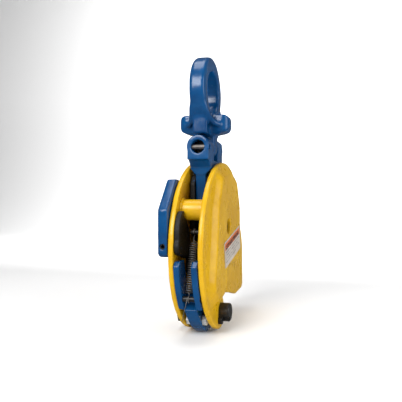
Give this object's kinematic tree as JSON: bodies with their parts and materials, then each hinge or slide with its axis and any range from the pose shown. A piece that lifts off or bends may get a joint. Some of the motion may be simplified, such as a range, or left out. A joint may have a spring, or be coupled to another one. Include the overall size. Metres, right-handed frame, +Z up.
{
  "type": "vertical plate lifting clamp",
  "caption": "Vertical lifting clamp: lifting eye on a swivel link, two round side plates, downward jaw slot with toothed cam jaw, and a side lock lever.",
  "frame": {"origin": "centre of the lifting eye's hole, on the eye's mid plane", "axes": "+Z up along the load line, +X out of the labelled side plate, -Y towards the lock cam and jaw lever"},
  "size_m": [0.0623, 0.2074, 0.3172],
  "materials": {
    "blue_paint": "thick gloss blue enamel over a forging",
    "yellow_paint": "thick gloss yellow enamel over plate",
    "black_iron": "rough blackened casting",
    "black_oxide": "black oxide, slightly oily",
    "steel": "plain machined steel",
    "zinc": "bright zinc plate",
    "spring_steel": "dark oiled spring wire",
    "bronze": "sintered bronze",
    "label": "laminated label with an orange band"
  },
  "bodies": {
    "lifting_eye": {"lifting_eye": "blue_paint"},
    "swivel_link": {"link_fork": "blue_paint", "eye_pin": "steel", "fork_roll_pin": "steel", "guide_plate_left": "black_iron", "guide_plate_right": "black_iron", "guide_rivets": "steel"},
    "clamp_body": {"plate_left": "yellow_paint", "plate_right": "yellow_paint", "spacer_tube_near": "yellow_paint", "spacer_tube_far": "yellow_paint", "spring_anchor": "steel", "jaw_block": "yellow_paint", "near_block": "black_iron", "fixed_jaw_pad": "steel", "pad_screw": "black_oxide", "main_shaft": "steel", "shaft_ring": "steel", "jaw_bolt": "black_oxide", "jaw_bolt_nut": "black_oxide", "jaw_bolt_washer": "black_oxide", "keeper_screw": "black_oxide", "label_plate": "label", "lock_spring": "spring_steel"},
    "moving_jaw": {"cam_lever": "blue_paint", "jaw_cam": "steel", "cam_bush": "bronze", "spring_pin": "steel", "clamp_bolt": "zinc", "clamp_nut": "zinc"},
    "lock": {"lock_lever": "blue_paint", "lock_shaft": "steel", "lock_cam": "black_iron", "lever_roll_pin": "steel"}
  },
  "joints": [
    {"name": "link_swing", "type": "hinge", "parent": "lifting_eye", "child": "swivel_link", "pos_m": [0, 0, -0.0663], "axis": [0, 1, 0], "range_deg": [-60, 60]},
    {"name": "body_tilt", "type": "hinge", "parent": "swivel_link", "child": "clamp_body", "pos_m": [0, 0.0086, -0.157], "axis": [1, 0, 0], "range_deg": [-15, 15]},
    {"name": "jaw_open", "type": "hinge", "parent": "clamp_body", "child": "moving_jaw", "pos_m": [0, -0.006, -0.255], "axis": [1, 0, 0], "range_deg": [0, 25], "stiffness_Nm_per_rad": 2, "springref_deg": -34.38, "deforming": ["lock_spring"]},
    {"name": "lock_turn", "type": "hinge", "parent": "clamp_body", "child": "lock", "pos_m": [-0.025, -0.07, -0.1745], "axis": [1, 0, 0], "range_deg": [0, 110]}
  ]
}
